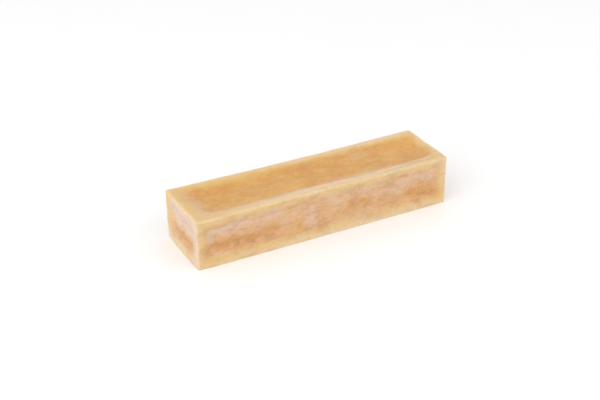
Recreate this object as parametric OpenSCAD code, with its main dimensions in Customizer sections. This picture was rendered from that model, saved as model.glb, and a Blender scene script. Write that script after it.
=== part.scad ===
// A hard dried bar: one solid block whose six faces have sunk in drying, each inside its own raised rim.
// Millimetres. +X runs along the bar, +Y from its front to its back, +Z up.
// The origin is the middle of the underside, on the plane that the bar rests on.

/* [Bar] */
// Length of the bar
bar_l = 140; // [110:1:160]
// Width of the bar, front to back
bar_w = 36.5; // [30:0.5:45]
// Height of the bar
bar_h = 26.5; // [22:0.5:34]
// Radius worn along every outer edge
edge_r = 0.8; // [0.4:0.1:1.5]

/* [Top pan] */
// Depth that the top face sank
top_sink = 3.2; // [1:0.1:4]
// Width of the rim along the front of the top
top_front_rim = 6.2; // [3.5:0.1:7]
// Width of the rim along the back of the top
top_back_rim = 1.6; // [1.5:0.1:5]
// Width of the rim across each end of the top
top_end_rim = 3; // [2:0.1:8]
// Distance from the front rim to the lowest line of the top pan
top_low_run = 7; // [5:0.5:9]

/* [Other pans] */
// Depth that the front and back faces sank
side_sink = 1.6; // [0.5:0.1:2.5]
// Depth that the underside sank
under_sink = 1.4; // [0.5:0.1:2.5]
// Depth that the two end faces sank
end_sink = 1.8; // [0.5:0.1:2.5]
// Width of the rim round the sides, the ends and the underside
rim_w = 2.6; // [1.6:0.1:4]

/* [Hidden] */

$fn = 96;
// Facets round the big circles that shape the sinks
arc_fn = 360;
amber = [0.86, 0.66, 0.44];

// Radius of the arc by which the ends of a long pan climb to the rim
pan_end_r = 16;
// How far the level stretch of a long outline passes under the floor of its bowl
under_floor = 0.5;
// How far a cutter stands out past the face that it cuts
proud = 2;

top_pan_l = bar_l - 2 * top_end_rim;
top_pan_w = bar_w - top_front_rim - top_back_rim;
top_pan_y = (top_front_rim - top_back_rim) / 2;

// Mouths of the other pans, inside rims that are rim_w wide all round
pan_l = bar_l - 2 * rim_w;
pan_w = bar_w - 2 * rim_w;
pan_h = bar_h - 2 * rim_w;

// Radius of the arc that leaves the level, and rises by rise over this run
function arc_r(run, rise) = (pow(run, 2) + pow(rise, 2)) / (2 * rise);
// How far in from the rim an arc of radius r has sunk by depth
function wall_run(r, depth) = sqrt(pow(r, 2) - pow(r - depth, 2));

// A rectangle about the origin with round corners
module round_rect(w, h, r) {
    square([w - 2 * r, h], center = true);
    square([w, h - 2 * r], center = true);
    for (x = [-1, 1], y = [-1, 1]) translate([x * (w / 2 - r), y * (h / 2 - r)]) circle(r);
}

// The bar before it sank: a box about the origin, rounded along all twelve edges
module full_bar() {
    intersection() {
        linear_extrude(bar_h, center = true) round_rect(bar_l, bar_w, edge_r);
        rotate([90, 0, 0]) linear_extrude(bar_w, center = true) round_rect(bar_l, bar_h, edge_r);
        rotate([90, 0, 90]) linear_extrude(bar_l, center = true) round_rect(bar_w, bar_h, edge_r);
    }
}

// Outline of a sink across its short way, its mouth on the X axis. Two arcs meet at its lowest point,
// low_run in from the side at -X. low_run is at most half the mouth, so the near arc's circle lies
// inside the far one's.
module bowl_outline(mouth, depth, low_run) {
    near_r = arc_r(low_run, depth);
    far_r = arc_r(mouth - low_run, depth);
    intersection() {
        translate([low_run - mouth / 2, -depth]) {
            translate([0, near_r]) circle(near_r, $fn = arc_fn);
            intersection() {
                translate([0, far_r]) circle(far_r, $fn = arc_fn);
                square([mouth - low_run, depth + proud]);
            }
        }
        translate([-mouth / 2, -depth]) square([mouth, depth + proud]);
    }
}

// Outline of a sink along its long way: an arc of pan_end_r climbs to the mouth at each end.
// Its level stretch passes under the bowl's floor, so only the two arcs cut.
module trough_outline(mouth, depth) {
    level = depth + under_floor;
    level_half = mouth / 2 - wall_run(pan_end_r, level);
    intersection() {
        union() {
            for (side = [-1, 1])
                translate([side * level_half, pan_end_r - level]) circle(pan_end_r, $fn = arc_fn);
            translate([-level_half, -level]) square([2 * level_half, pan_end_r]);
        }
        translate([-mouth / 2, -level]) square([mouth, level + proud]);
    }
}

// Cutter for a face in the plane z = 0, opening upwards: mouth_l along X and mouth_w along Y
module pan(mouth_l, mouth_w, depth, low_run) {
    intersection() {
        rotate([90, 0, 90]) linear_extrude(mouth_l, center = true) bowl_outline(mouth_w, depth, low_run);
        rotate([90, 0, 0]) linear_extrude(mouth_w, center = true) trough_outline(mouth_l, depth);
    }
}

module block() {
    color(amber) translate([0, 0, bar_h / 2]) difference() {
        full_bar();
        translate([0, top_pan_y, bar_h / 2]) pan(top_pan_l, top_pan_w, top_sink, top_low_run);
        translate([0, 0, -bar_h / 2]) rotate([180, 0, 0]) pan(pan_l, pan_w, under_sink, pan_w / 2);
        for (turn = [0, 180]) rotate([0, 0, turn]) {
            translate([0, -bar_w / 2, 0]) rotate([90, 0, 0]) pan(pan_l, pan_h, side_sink, pan_h / 2);
            translate([bar_l / 2, 0, 0]) rotate([90, 0, 90]) pan(pan_w, pan_h, end_sink, pan_h / 2);
        }
    }
}

block();
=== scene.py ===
"""Looks of a hard dried bar of milk curd: honey amber and waxy, each face sunken inside a paler rim.

The bar is one piece. Its skin is a fine grid wrapped on the CAD box, rounded along the edges, sunk face
by face, wrinkled and grained, then bent as the bar bent in drying. What each point of the skin is like
(how amber it is, how much pale bloom or bare dark skin shows there) is kept on the mesh as attributes,
and the material mixes its colours by them. Shapes are worked out in millimetres from the box's middle.
Objects are in metres, in the frame of the CAD model.
"""

import math
from itertools import product

import bpy
import numpy as np
from mathutils import Matrix, Vector


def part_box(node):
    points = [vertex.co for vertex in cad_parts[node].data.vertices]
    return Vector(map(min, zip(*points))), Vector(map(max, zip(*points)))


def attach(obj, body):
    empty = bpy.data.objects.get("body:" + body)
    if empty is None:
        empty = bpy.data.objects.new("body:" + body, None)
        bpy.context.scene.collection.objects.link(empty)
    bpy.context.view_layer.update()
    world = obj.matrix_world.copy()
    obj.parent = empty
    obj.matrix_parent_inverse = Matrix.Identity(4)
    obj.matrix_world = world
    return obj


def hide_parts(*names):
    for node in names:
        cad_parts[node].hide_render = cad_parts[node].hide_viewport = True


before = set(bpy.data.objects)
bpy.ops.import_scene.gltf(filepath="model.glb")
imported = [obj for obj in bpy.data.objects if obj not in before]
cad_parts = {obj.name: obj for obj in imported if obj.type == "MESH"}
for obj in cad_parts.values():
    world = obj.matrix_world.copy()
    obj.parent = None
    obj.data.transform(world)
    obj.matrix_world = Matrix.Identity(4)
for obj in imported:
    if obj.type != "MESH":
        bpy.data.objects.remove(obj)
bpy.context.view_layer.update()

MM = 0.001
LOW, HIGH = (np.array(corner, float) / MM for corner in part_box("block"))
MIDDLE = (LOW + HIGH) / 2
HALF = (HIGH - LOW) / 2


# ---------------------------------------------------------------- noise

_random = np.random.RandomState(7)
_order = _random.permutation(256)
_slopes = _random.normal(size=(256, 3))
_slopes /= np.linalg.norm(_slopes, axis=1)[:, None]

# Shifts that give each seed and each octave a part of the noise of its own
SEED_SHIFT, OCTAVE_SHIFT = 19.7, 5.3
RIDGE_SEED_SHIFT, RIDGE_OCTAVE_SHIFT = 31.1, 7.9


def noise(p):
    """Smooth gradient noise at points p, about -1 to 1, with one feature a unit."""
    cell = np.floor(p).astype(int)
    part = p - cell
    blend = part**3 * (part * (6 * part - 15) + 10)
    total = np.zeros(len(p))
    for corner in product((0, 1), repeat=3):
        x, y, z = (cell + corner).T & 255
        slope = _slopes[_order[(_order[(_order[x] + y) & 255] + z) & 255]]
        weight = np.prod(np.where(corner, blend, 1 - blend), axis=1)
        total += weight * np.sum(slope * (part - corner), axis=1)
    return 1.6 * total


def layered(p, size, octaves=3, seed=0):
    """Noise at points p in mm, about -1 to 1. Its largest features are size mm, which is one number or
    one for each axis, and each further octave has features half as large and half as strong."""
    total, reach = np.zeros(len(p)), 0.0
    for k in range(octaves):
        share = 0.5**k
        place = p / np.asarray(size, float) * 2**k + SEED_SHIFT * (seed + 1) + OCTAVE_SHIFT * k
        total += share * noise(place)
        reach += share
    return total / reach


def ridged(p, size, octaves=3, seed=0):
    """Noise like layered's, but from 0 to 1 and with narrow crests, as skin wrinkles."""
    total, reach = np.zeros(len(p)), 0.0
    for k in range(octaves):
        share = 0.5**k
        place = p / np.asarray(size, float) * 2**k + RIDGE_SEED_SHIFT * (seed + 1) + RIDGE_OCTAVE_SHIFT * k
        total += share * (1 - np.abs(noise(place))) ** 3
        reach += share
    return total / reach


def ease(t):
    """0 below 0, 1 above 1, smooth between."""
    t = np.clip(t, 0, 1)
    return t * t * (3 - 2 * t)


# ---------------------------------------------------------------- the grid


def steps(half, edge=2.0, fine=0.22, coarse=0.6):
    """Positions from -half to half mm: fine ones within edge of each end, coarse ones between."""
    n_edge = round(edge / fine)
    n_middle = round(2 * (half - edge) / coarse)
    end = np.linspace(0, edge, n_edge + 1)[:-1]
    middle = np.linspace(edge - half, half - edge, n_middle + 1)
    return np.concatenate([end - half, middle, (half - end)[::-1]])


def box_skin():
    """The surface grid of the box about the origin: its points in mm, and its quads, which face outwards.
    It is fine near every edge, over a wider band along the front and back, where the top's rims are."""
    lines = [steps(HALF[0]), steps(HALF[1], edge=6.0, fine=0.3), steps(HALF[2])]
    counts = [len(line) for line in lines]
    inside = np.zeros(counts, bool)
    inside[1:-1, 1:-1, 1:-1] = True
    number = np.full(counts, -1)
    number[~inside] = np.arange(np.count_nonzero(~inside))
    i, j, k = np.nonzero(~inside)
    points = np.stack([lines[0][i], lines[1][j], lines[2][k]], axis=1)
    quads = []
    for axis in range(3):
        for side in (0, -1):
            sheet = np.take(number, side, axis=axis)
            loop = [sheet[:-1, :-1], sheet[1:, :-1], sheet[1:, 1:], sheet[:-1, 1:]]
            outward = (side == -1) != (axis == 1)
            quads.append(np.stack(loop if outward else loop[::-1], axis=-1).reshape(-1, 4))
    return points, np.concatenate(quads)


# ---------------------------------------------------------------- the faces


class Face:
    """One face of the bar. axis and sign are its outward direction, and across the two axes in it. depth
    is how far its middle sank, in mm. rims and slopes are widths in mm of the level rim and of the slope
    down from it, at the low and high side of the first axis and then of the second. pale and fades say
    the same of its pale border and of how softly that turns to amber. dust is how much bloom lies all
    over it, and gold how golden its pale border is."""

    def __init__(self, axis, sign, depth, rims, slopes, pale, fades, dust, gold):
        self.axis, self.sign, self.depth, self.dust, self.gold = axis, sign, depth, dust, gold
        self.rims, self.slopes, self.pale, self.fades = rims, slopes, pale, fades
        self.across = [k for k in range(3) if k != axis]

    def holds(self, q):
        """1 for the grid points in this face, and 0 for the rest."""
        return (np.abs(q[:, self.axis] - self.sign * HALF[self.axis]) < 1e-6).astype(float)

    def inner(self, q, wander, widths, slopes):
        """0 within those widths of the face's sides, 1 in its middle, with soft slopes between. wander is
        how far in mm the sides stray."""
        result = np.ones(len(q))
        for k, axis in enumerate(self.across):
            place = q[:, axis] + wander[:, axis]
            for side, distance in enumerate((HALF[axis] + place, HALF[axis] - place)):
                result *= ease((distance - widths[2 * k + side]) / slopes[2 * k + side])
        return result * self.holds(q)

    def sink(self, q, wander):
        """How far each point has sunk, from 0 on the rim to 1 in the middle."""
        return self.inner(q, wander, self.rims, self.slopes)

    def amber(self, q, wander):
        """How amber each point is, from 0 in the pale border to 1 in the middle."""
        return self.inner(q, wander, self.pale, self.fades)


FACES = {
    "top": Face(
        axis=2, sign=1, depth=3.0, rims=(1.4, 1.2, 4.8, 0.7), slopes=(12, 9, 3.8, 13),
        pale=(1.5, 1.8, 4.3, 2.0), fades=(10, 6, 1.8, 7), dust=0.08, gold=0.75,
    ),
    "under": Face(
        axis=2, sign=-1, depth=1.4, rims=(2.0, 2.4, 1.8, 2.0), slopes=(9, 8, 8, 8),
        pale=(1.5, 2.0, 2.0, 1.5), fades=(5, 6, 5, 4), dust=0.4, gold=0.5,
    ),
    "front": Face(
        axis=1, sign=-1, depth=1.5, rims=(2.4, 2.8, 1.4, 1.0), slopes=(6, 5.5, 8.5, 8),
        pale=(1.5, 2.2, 3.1, 2.1), fades=(6, 5, 4, 4.5), dust=0.44, gold=0.1,
    ),
    "back": Face(
        axis=1, sign=1, depth=1.6, rims=(2.2, 2.6, 1.4, 1.2), slopes=(7, 6.5, 6.5, 6),
        pale=(1.0, 1.5, 0.5, 0), fades=(6, 5, 6, 5), dust=0.4, gold=0.5,
    ),
    "left": Face(
        axis=0, sign=-1, depth=2.0, rims=(1.2, 1.4, 1.2, 0.8), slopes=(9, 8, 7.5, 7.5),
        pale=(0, 1.5, 1.5, 0.5), fades=(6, 8, 5, 6), dust=0.6, gold=0.2,
    ),
    "right": Face(
        axis=0, sign=1, depth=1.8, rims=(1.4, 1.2, 1.2, 1.0), slopes=(8.5, 8.5, 7.5, 7),
        pale=(0.5, 0, 0, 0.5), fades=(6, 6, 6, 6), dust=0.45, gold=0.5,
    ),
}


class Patch:
    """A soft oval on a face: its middle, in mm from the low end of each of the face's two axes, its two
    half widths, and its strength."""

    def __init__(self, face, middle, size, strength=1.0):
        self.face, self.middle, self.size, self.strength = FACES[face], middle, size, strength

    def amount(self, q, wander):
        """Its strength at each grid point."""
        reach = np.zeros(len(q))
        for k, axis in enumerate(self.face.across):
            place = q[:, axis] + HALF[axis] + wander[:, axis]
            reach += ((place - self.middle[k]) / self.size[k]) ** 2
        return self.strength * np.exp(-reach) * self.face.holds(q)


# Where pale bloom gathered
BLOOM = [
    Patch("front", (43, 20), (5, 2.6), 0.38),
    Patch("front", (14, 18.5), (9, 3.4), 0.29),
    Patch("front", (23, 18.5), (8, 3.2), 0.25),
    Patch("front", (34, 17.5), (6, 2.8), 0.18),
    Patch("front", (70, 22), (70, 1.8), 0.08),
    Patch("front", (7.5, 14), (2.4, 8), 0.32),
    Patch("front", (47, 13.5), (4, 3), 0.25),
    Patch("front", (56, 18), (6, 3), 0.12),
    Patch("front", (62, 12.5), (4, 4), 0.43),
    Patch("front", (72, 14), (2, 6), 0.11),
    Patch("front", (77, 19), (8, 2.4), 0.18),
    Patch("front", (78, 13.5), (5, 4), 0.25),
    Patch("front", (95, 18.5), (8, 3.0), 0.18),
    Patch("front", (102, 11), (5, 4.5), 0.22),
    Patch("front", (118, 18.5), (9, 2.8), 0.28),
    Patch("front", (129, 17), (6, 2.6), 0.30),
    Patch("front", (110, 14), (5, 3), 0.25),
    Patch("front", (12, 6), (6, 2.0), 0.22),
    Patch("front", (30, 6.5), (7, 2.0), 0.22),
    Patch("front", (88, 7), (9, 2.6), 0.22),
    Patch("front", (64, 7.5), (4, 2.4), 0.25),
    Patch("left", (9, 19.5), (12, 5.6), 1.3),
    Patch("left", (3, 12), (4.4, 16), 1.0),
    Patch("left", (24, 20), (6.0, 5.0), 1.3),
    Patch("left", (12, 13.5), (8, 3.4), 0.8),
    Patch("top", (8, 18), (5.5, 7), 0.45),
    Patch("top", (5, 28), (4, 5), 0.3),
    Patch("top", (12, 8.5), (7, 2.8), 0.5),
    Patch("top", (62, 6.9), (80, 1.9), 0.5),
    Patch("top", (72, 5.0), (90, 0.8), 0.4),
    Patch("top", (75, 9.6), (70, 2.4), 0.4),
    Patch("top", (137, 16), (3, 9), 0.2),
    Patch("top", (112, 3), (14, 1.2), 0.5),
    Patch("top", (103, 28), (8, 5), 0.25),
    Patch("top", (60, 3.2), (16, 0.9), 0.3),
]
# Where the skin stayed bare and dark
POCKETS = [
    Patch("front", (16, 10.2), (9, 2.9), 0.85),
    Patch("front", (29, 9.3), (8, 2.7), 0.95),
    Patch("front", (7, 7.5), (6, 4.0), 0.35),
    Patch("front", (40, 12), (5, 2.6), 0.5),
    Patch("front", (70, 15), (5, 3), 0.3),
    Patch("front", (87, 12), (9, 3.6), 0.6),
    Patch("front", (103, 10), (6, 2.4), 0.35),
    Patch("front", (123, 10.4), (7.5, 2.4), 1.3),
    Patch("front", (131, 7.6), (5, 2.0), 0.9),
    Patch("front", (62, 9), (65, 3.0), 0.3),
    Patch("left", (14, 8.2), (6.0, 3.0), 0.75),
    Patch("left", (22, 9.0), (7, 3.0), 0.75),
    Patch("top", (70, 29), (12, 3), 0.5),
    Patch("top", (40, 21), (16, 5), 0.3),
    Patch("top", (125, 14), (9, 6), 0.5),
]
# Where the pale border is cream. Elsewhere it is straw yellow.
CREAM = [
    Patch("top", (45, 3.0), (34, 2.8), 1.0),
    Patch("top", (100, 3.0), (36, 2.8), 1.0),
    Patch("top", (0, 16), (2.5, 12), 0.4),
    Patch("top", (139, 18), (3, 20), 0.7),
    Patch("top", (70, 36.3), (80, 2.9), 1.0),
    Patch("top", (112, 34.5), (30, 2.6), 0.8),
    Patch("left", (8, 24), (18, 5), 1.0),
    Patch("left", (1, 12), (5, 20), 1.0),
    Patch("left", (35, 4), (5, 5), 0.8),
    Patch("left", (20, 1), (20, 4), 1.0),
    Patch("front", (90, 0), (60, 3.0), 1.0),
    Patch("front", (139, 18), (3, 8), 0.6),
    Patch("front", (95, 26.5), (60, 1.5), 0.3),
    Patch("front", (134, 25), (8, 3), 0.6),
    Patch("front", (0, 12), (2, 12), 0.5),
    Patch("back", (30, 24), (30, 5), 0.7),
    Patch("right", (20, 24), (18, 6), 0.8),
]
# Where the pale border is golden
GOLDEN = [
    Patch("top", (58, 31.5), (62, 3.2), 1.0),
    Patch("top", (135, 28), (6, 6), 0.8),
    Patch("front", (136, 4), (7, 5), 1.0),
    Patch("front", (8, 3), (14, 3), 0.5),
]


def total(patches, q, wander):
    """The patches' amounts together, at most 1."""
    return np.clip(sum(patch.amount(q, wander) for patch in patches), 0, 1)


# ---------------------------------------------------------------- the shape

# Radius in mm of the worn edges, the share of it that varies, and the share that is missing along the
# edges that the bar rests on
EDGE_RADIUS, EDGE_VARIATION, FOOT_SHARPNESS = 1.15, 0.35, 0.8
# How far in mm the faces' borders stray over long and short distances, and the patches over middling ones
LONG_WANDER, SHORT_WANDER, PATCH_WANDER = 0.7, 0.3, 2.0
# How much wider in mm the top's front rim gets at its right end, and its left border near the front
RIM_FLARE, BORDER_FLARE = 2.8, 2.2
# How far in mm the left end draws in, its top front corner droops, and the top's back edge sags
END_DRAW, CORNER_DROOP, BACK_SAG = 0.45, 0.35, 0.65
# Depths in mm of the swells, the wrinkles, the bare pockets, the grain, the dents in the rims and the
# ruts in the top's front rim, and the height of the bloom
SWELL_DEPTH, WRINKLE_DEPTH, POCKET_DEPTH, GRAIN_DEPTH = 0.35, 0.45, 0.45, 0.05
RIM_DENT_DEPTH, RUT_DEPTH, BLOOM_HEIGHT = 0.09, 0.2, 0.2


def three_ways(q, size, octaves, seeds):
    """A noise vector at each grid point, from one seed for each axis."""
    return np.stack([layered(q, size, octaves, seed=seed) for seed in seeds], axis=1)


def rounded(q):
    """The grid points moved onto a box with round edges, and the outward direction at each. The edges that
    the bar rests on are sharper, except close to its corners."""
    radius = EDGE_RADIUS * (1 + EDGE_VARIATION * layered(q, 9, 2, seed=3))
    from_corner = np.hypot(HALF[0] - np.abs(q[:, 0]), HALF[1] - np.abs(q[:, 1]))
    radius *= 1 - FOOT_SHARPNESS * ease(-q[:, 2] / 6) * ease((from_corner - 2) / 5)
    radius = radius[:, None]
    core = np.clip(q, radius - HALF, HALF - radius)
    outward = q - core
    outward /= np.linalg.norm(outward, axis=1)[:, None]
    return core + radius * outward, outward


def drying_warp(p):
    """How the whole bar bent as it dried: the left end draws in at its front and at its foot, and droops
    at its top front corner, and the top's back edge sags in the middle."""
    x, y, z = p.T
    moved = p.copy()
    near_left = ease((-x - 30) / 40)
    back, front = ease((y + 8) / 24), ease((4 - y) / 20)
    foot, head = ease((-3 - z) / 11), ease(z / 12)
    sag = (1 - (x / HALF[0]) ** 2) * back * ease((z + 2) / 14)
    moved[:, 0] += END_DRAW * near_left * np.maximum(front, foot)
    moved[:, 2] -= BACK_SAG * sag + CORNER_DROOP * near_left * front * head
    return moved


def wandering(q):
    """How far in mm the faces' borders stray at each grid point. On the top, the back border strays less,
    the front rim widens towards its right end, and the left border widens towards the front."""
    stray = LONG_WANDER * three_ways(q, 22, 3, seeds=(10, 11, 12))
    stray += SHORT_WANDER * three_ways(q, 4, 2, seeds=(13, 14, 15))
    x, y, _ = q.T
    top = FACES["top"].holds(q)
    stray[:, 1] *= 1 - 0.6 * top * ease(y / 10)
    stray[:, 1] -= RIM_FLARE * top * ease((x - 48) / 24) ** 2
    stray[:, 0] -= BORDER_FLARE * top * ease((-x - 40) / 25) * ease((8 - y) / 20)
    return stray


def sinks(q, wander, loose):
    """At each grid point, how far it sank from 0 to 1 and in mm, and how amber it turned."""
    sunk, depth, amber = np.zeros((3, len(q)))
    for face in FACES.values():
        here = face.sink(q, wander)
        sunk += here
        depth += face.depth * here
        amber += face.amber(q, wander + 0.5 * loose)
    return sunk, depth, amber


def tints(q, loose, sunk, amber):
    """At each grid point, from 0 to 1, how much bloom and bare pocket shows, and how cream and golden its
    pale border is. The back, the right end and the underside get patchy bloom and pockets from noise."""
    dust = np.max([face.dust * face.holds(q) for face in FACES.values()], axis=0)
    gold = np.max([face.gold * face.holds(q) for face in FACES.values()], axis=0)
    gold = np.maximum(gold, total(GOLDEN, q, loose))
    cream = total(CREAM, q, loose)
    pocket = total(POCKETS, q, loose)
    bloom = np.clip(total(BLOOM, q, loose) + dust * (0.25 + 0.75 * amber), 0, 1) * (1 - 0.75 * pocket)
    patchy = sum(FACES[name].holds(q) for name in ("back", "right", "under"))
    more_bloom = 0.4 * ease(2.2 * layered(q, (16, 9, 7), 4, seed=30))
    more_pocket = sunk * ease(2.4 * layered(q, (18, 9, 8), 3, seed=40) - 0.3)
    bloom = np.clip(bloom + patchy * more_bloom, 0, 1)
    pocket = np.clip(pocket + patchy * more_pocket, 0, 1)
    return bloom, pocket, cream, gold


def rim_ruts(q, loose):
    """Long ruts in the top's front rim, from 0 to 1 deep, and fainter at its left."""
    from_front = q[:, 1] + HALF[1]
    on_rim = FACES["top"].holds(q) * ease((6.8 - from_front) / 2.5)
    ruts = ease(2.2 * ridged(q + 0.3 * loose, (30, 2.4, 6), 2, seed=90) - 0.75)
    return on_rim * (0.55 + 0.45 * ease(q[:, 0] / 35)) * ruts


def near_edge(q):
    """1 on the box's edges, falling to nearly 0 over 3 mm, and over 5 mm at its foot."""
    distance = np.sort(HALF - np.abs(q), axis=1)[:, 1]
    return np.exp(-((distance / (1.5 + 1.2 * ease(-q[:, 2] / 10))) ** 2))


def bar_skin():
    """The bar's points in mm from the box's middle, its quads, and its attributes."""
    q, quads = box_skin()
    wander = wandering(q)
    loose = PATCH_WANDER * three_ways(q, 7, 3, seeds=(20, 21, 22))
    sunk, depth, amber = sinks(q, wander, loose)
    bloom, pocket, cream, gold = tints(q, loose, sunk, amber)
    rut = rim_ruts(q, loose)
    wrinkles = ridged(q + loose, (7, 5, 3.0), 3, seed=50)
    swells = layered(q, (16, 8, 7), 3, seed=60)

    # The top is the smoothest face. The underside has wrinkles only where it sank, so its rim stays level.
    not_top = 1 - FACES["top"].holds(q)
    not_under = 1 - FACES["under"].holds(q)
    crinkle = 0.3 + 0.7 * not_top
    relief = SWELL_DEPTH * swells + POCKET_DEPTH * pocket * not_top - BLOOM_HEIGHT * bloom * not_top
    inward = depth + sunk * relief
    inward += (0.25 * not_under + 0.75 * sunk) * WRINKLE_DEPTH * crinkle * (1 - wrinkles)
    inward += GRAIN_DEPTH * not_under * (1 + layered(q, 1.9, 2, seed=70))
    inward += RIM_DENT_DEPTH * not_under * (1 - sunk) * (1 + layered(q, 6, 2, seed=80))
    inward += RUT_DEPTH * rut

    p, outward = rounded(q)
    p = drying_warp(p - np.maximum(inward, 0)[:, None] * outward)
    looks = {
        "amber": amber, "gold": gold, "cream": cream, "bloom": bloom, "pocket": pocket,
        "edge": near_edge(q), "wrinkle": wrinkles, "rut": rut, "crinkle": crinkle,
    }
    return p, quads, looks


def mesh_piece(name, points, quads, attributes):
    """A smooth mesh object from points in mm about the box's middle, kept inside the box."""
    points = np.clip(points, -HALF, HALF)
    mesh = bpy.data.meshes.new(name)
    mesh.from_pydata(((points + MIDDLE) * MM).tolist(), [], quads.tolist())
    for key, values in attributes.items():
        made = mesh.attributes.new(key, "FLOAT", "POINT")
        made.data.foreach_set("value", values.astype(np.float32))
    mesh.polygons.foreach_set("use_smooth", [True] * len(mesh.polygons))
    mesh.update()
    piece = bpy.data.objects.new(name, mesh)
    bpy.context.scene.collection.objects.link(piece)
    return piece


# ---------------------------------------------------------------- materials

STRAW, GOLD, CREAM_RIM = (0.67, 0.49, 0.225, 1), (0.70, 0.46, 0.13, 1), (0.74, 0.55, 0.345, 1)
DARK_HONEY, LIGHT_HONEY, VEIN = (0.625, 0.315, 0.075, 1), (0.685, 0.375, 0.10, 1), (0.70, 0.45, 0.15, 1)
# CREST_BLOOM_AND_HIGHLIGHT is the pale of the wrinkle crests: partly bloom on them, partly painted
# highlight
BARE, FROST, CREST_BLOOM_AND_HIGHLIGHT = (0.58, 0.295, 0.095, 1), (0.67, 0.505, 0.41, 1), (0.70, 0.50, 0.31, 1)
# WORN_AND_HIGHLIGHT is the pale of the edges: partly wear, partly painted highlight along them
RUT, WORN_AND_HIGHLIGHT = (0.56, 0.40, 0.25, 1), (0.74, 0.59, 0.385, 1)
# These two are painted shade, of dents and of fine creases, and multiply what they lie on
PAINTED_DENT_SHADE, PAINTED_CREASE_SHADE = (0.84, 0.80, 0.77, 1), (0.74, 0.68, 0.62, 1)


class Graph:
    """A material's node tree, built a node at a time."""

    def __init__(self, name):
        self.material = bpy.data.materials.new(name)
        self.material.use_nodes = True
        self.tree = self.material.node_tree
        self.tree.nodes.clear()

    def node(self, kind, inputs=None, **settings):
        """A new node. inputs gives its sockets by name or number, a value or another node's socket."""
        made = self.tree.nodes.new("ShaderNode" + kind)
        for key, value in settings.items():
            setattr(made, key, value)
        for key, value in (inputs or {}).items():
            if isinstance(value, bpy.types.NodeSocket):
                self.tree.links.new(value, made.inputs[key])
            else:
                made.inputs[key].default_value = value
        return made

    def math(self, operation, a, b=0.0, clamp=False):
        """One step of arithmetic."""
        return self.node("Math", {0: a, 1: b}, operation=operation, use_clamp=clamp).outputs[0]

    def times(self, a, b):
        """a times b."""
        return self.math("MULTIPLY", a, b)

    def weighted(self, *parts):
        """The sum of values, each given with its weight."""
        total = self.times(*parts[0])
        for value, weight in parts[1:]:
            total = self.math("ADD", total, self.times(value, weight))
        return total

    def mix(self, factor, a, b, blend="MIX"):
        """Colour a where factor is 0, and b where it is 1, or a blended with b in another way. The node's
        sockets go by number, because its sockets for numbers, vectors and colours share their names."""
        inputs = {0: factor, 6: a, 7: b}
        return self.node("Mix", inputs, data_type="RGBA", blend_type=blend).outputs[2]

    def attribute(self, name):
        """A value that the mesh keeps at each point."""
        return self.node("Attribute", attribute_name=name).outputs["Fac"]

    def noise(self, place, size, detail=3.0, roughness=0.55, stretch=(1, 1, 1)):
        """Noise from about 0 to 1 whose features are size mm, longer along an axis by stretch."""
        scale = [1 / s for s in stretch]
        spot = self.node("Mapping", {"Vector": place, "Scale": scale}).outputs[0]
        inputs = {"Vector": spot, "Scale": 1 / (size * MM), "Detail": detail, "Roughness": roughness}
        return self.node("TexNoise", inputs).outputs["Fac"]

    def spread(self, value, low, high):
        """value taken from low..high to 0..1, smooth and clamped."""
        inputs = {"Value": value, "From Min": low, "From Max": high}
        return self.node("MapRange", inputs, interpolation_type="SMOOTHSTEP").outputs[0]


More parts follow.
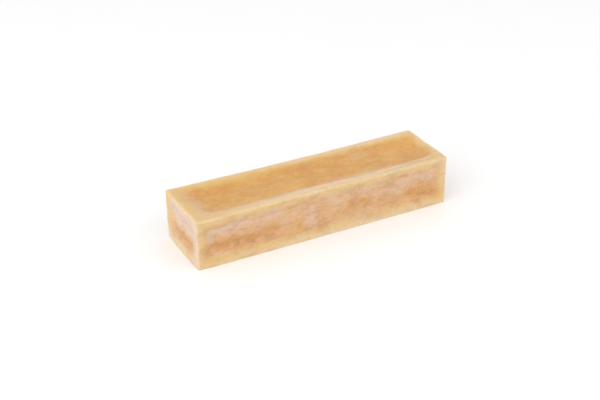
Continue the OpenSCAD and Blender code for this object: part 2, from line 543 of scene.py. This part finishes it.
def dried_curd():
    """Honey amber, waxy and a little translucent: straw, golden or cream borders, darker bare pockets and
    pinkish bloom, over which lie wrinkle crests paled partly by bloom and partly by painted highlight,
    ruts, worn edges also paled by painted highlight, and painted shade of dents and of fine creases."""
    g = Graph("dried_curd")
    place = g.node("TexCoord").outputs["Object"]
    amber, gold, cream, bloom, pocket, edge, wrinkle, rut, crinkle = (
        g.attribute(name)
        for name in ("amber", "gold", "cream", "bloom", "pocket", "edge", "wrinkle", "rut", "crinkle")
    )

    cloud = g.noise(place, 15, detail=3)
    mottle = g.noise(place, 2.4, detail=5, roughness=0.65)
    streak = g.noise(place, 1.4, detail=4, roughness=0.6, stretch=(2.2, 1.3, 1))
    vein = g.noise(place, 3.2, detail=4, roughness=0.6, stretch=(2, 1, 1))
    grain = g.noise(place, 0.5, detail=4, roughness=0.7)
    fine = g.noise(place, 1.0, detail=3, roughness=0.6, stretch=(1.8, 1.2, 1))

    tone = g.weighted((cloud, 0.8), (mottle, 0.2))
    pale = g.mix(g.times(cream, g.spread(streak, 0.1, 0.45)), g.mix(gold, STRAW, GOLD), CREAM_RIM)
    honey = g.mix(g.spread(tone, 0.38, 0.62), DARK_HONEY, LIGHT_HONEY)
    ripple = g.times(g.math("SUBTRACT", tone, 0.5), 1.1)
    body = g.mix(g.spread(g.math("SUBTRACT", amber, ripple), 0.0, 0.95), pale, honey)
    body = g.mix(g.times(g.spread(vein, 0.5, 0.68), 0.45), body, VEIN)
    body = g.mix(g.times(pocket, g.spread(mottle, 0.05, 0.45)), body, BARE)

    patchy = g.weighted((streak, 0.8), (mottle, 0.6))
    frost = g.spread(g.math("ADD", bloom, g.math("SUBTRACT", patchy, 0.7)), -0.1, 1.25)
    body = g.mix(frost, body, FROST)

    # Wrinkle crests turn paler: partly bloom, partly painted highlight standing in for light on the relief
    crest_bloom_and_highlight = g.times(crinkle, g.spread(wrinkle, 0.5, 0.9))
    body = g.mix(g.times(crest_bloom_and_highlight, 0.4), body, CREST_BLOOM_AND_HIGHLIGHT)
    body = g.mix(g.times(rut, 0.6), body, RUT)
    # Edges turn paler: partly wear, partly painted highlight along them
    worn_and_highlit_edge = g.times(edge, g.spread(mottle, 0.2, 0.6))
    body = g.mix(g.times(worn_and_highlit_edge, 0.6), body, WORN_AND_HIGHLIGHT)
    # Painted shade of dents, darker where the vein noise is low
    painted_dent_shade = g.times(crinkle, g.spread(vein, 0.52, 0.36))
    body = g.mix(g.times(painted_dent_shade, 0.6), body, PAINTED_DENT_SHADE, "MULTIPLY")
    # Painted shade of fine creases, darker where the fine noise is high
    painted_crease_shade = g.times(crinkle, g.spread(fine, 0.48, 0.7))
    body = g.mix(g.times(painted_crease_shade, 0.3), body, PAINTED_CREASE_SHADE, "MULTIPLY")

    dull = g.math("ADD", 0.40, g.times(mottle, 0.18))
    rough = g.math("ADD", dull, g.times(frost, 0.25), clamp=True)
    height = g.weighted((mottle, 0.8), (grain, 0.25), (streak, 0.5))
    bump = g.node("Bump", {"Height": height, "Strength": 0.5, "Distance": 0.12 * MM}).outputs[0]

    shader = g.node("BsdfPrincipled", {
        "Base Color": body, "Roughness": rough, "Normal": bump, "IOR": 1.46,
        "Subsurface Weight": 1.0, "Subsurface Radius": (1.0, 0.7, 0.5), "Subsurface Scale": 0.9 * MM,
    })
    g.node("OutputMaterial", {"Surface": shader.outputs[0]})
    return g.material


def plain_floor():
    """A matt white board, very slightly mottled."""
    g = Graph("floor_white")
    place = g.node("TexCoord").outputs["Object"]
    shade = g.mix(g.noise(place, 60, detail=2), (0.925, 0.925, 0.925, 1), (0.94, 0.94, 0.94, 1))
    shader = g.node("BsdfPrincipled", {"Base Color": shade, "Roughness": 0.9, "Specular IOR Level": 0.1})
    g.node("OutputMaterial", {"Surface": shader.outputs[0]})
    return g.material


# ---------------------------------------------------------------- the stage


def make_floor(size=24.0):
    """A level square of white board under the bar, size metres a side."""
    mesh = bpy.data.meshes.new("floor")
    corners = [(-1, -1), (1, -1), (1, 1), (-1, 1)]
    mesh.from_pydata([(x * size / 2, y * size / 2, 0) for x, y in corners], [], [(0, 1, 2, 3)])
    mesh.materials.append(plain_floor())
    floor = bpy.data.objects.new("floor", mesh)
    bpy.context.scene.collection.objects.link(floor)


def turned_to(back, position):
    """The placement of a camera or light at position that looks along -back, with no roll, and its
    directions to the right and up."""
    back = back.normalized()
    right = Vector((0, 0, 1)).cross(back).normalized()
    up = back.cross(right)
    turn = Matrix((right, up, back)).transposed().to_4x4()
    return Matrix.Translation(position) @ turn, right, up


def back_direction(azimuth, elevation):
    """The unit vector towards a camera at that azimuth (0 looks along +Y) and elevation, in degrees."""
    a, e = math.radians(azimuth), math.radians(elevation)
    return Vector((math.sin(a) * math.cos(e), -math.cos(a) * math.cos(e), math.sin(e)))


def make_camera(azimuth=-28.21, elevation=29.66, lens=70.07, distance=4.225, aside=0.0345, above=-0.0672):
    """A camera in front of the bar, to its left and above it. Its distance is in bar lengths, and so is
    how far to the right and above the view's middle the bar's origin appears."""
    length = 2 * HALF[0] * MM
    data = bpy.data.cameras.new("camera")
    data.sensor_width = 36.0
    data.lens = lens
    camera = bpy.data.objects.new("camera", data)
    bpy.context.scene.collection.objects.link(camera)
    back = back_direction(azimuth, elevation)
    _, right, up = turned_to(back, Vector())
    position = length * (distance * back - aside * right - above * up)
    camera.matrix_world = turned_to(back, position)[0]
    bpy.context.scene.camera = camera


def soft_box(name, azimuth, elevation, distance, size, power):
    """A square area light aimed at the bar."""
    data = bpy.data.lights.new(name, "AREA")
    data.shape, data.size, data.energy = "SQUARE", size, power
    light = bpy.data.objects.new(name, data)
    bpy.context.scene.collection.objects.link(light)
    back = back_direction(azimuth, elevation)
    light.matrix_world = turned_to(back, distance * back)[0]


def make_light(ambient=0.87):
    """Even white light from all round, a large soft box at the left and a weaker one at the right."""
    world = bpy.data.worlds.new("tent")
    world.use_nodes = True
    world.node_tree.nodes["Background"].inputs["Color"].default_value = (1, 1, 1, 1)
    world.node_tree.nodes["Background"].inputs["Strength"].default_value = ambient
    bpy.context.scene.world = world
    soft_box("key", azimuth=-62, elevation=32, distance=1.2, size=1.4, power=7.3)
    soft_box("fill", azimuth=30, elevation=35, distance=1.4, size=1.4, power=3.4)


# ---------------------------------------------------------------- the scene

bar = mesh_piece("bar", *bar_skin())
bar.data.materials.append(dried_curd())
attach(bar, "root")
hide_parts("block")

make_floor()
make_camera()
make_light()
bpy.context.scene.view_settings.view_transform = "Standard"

bpy.context.view_layer.update()
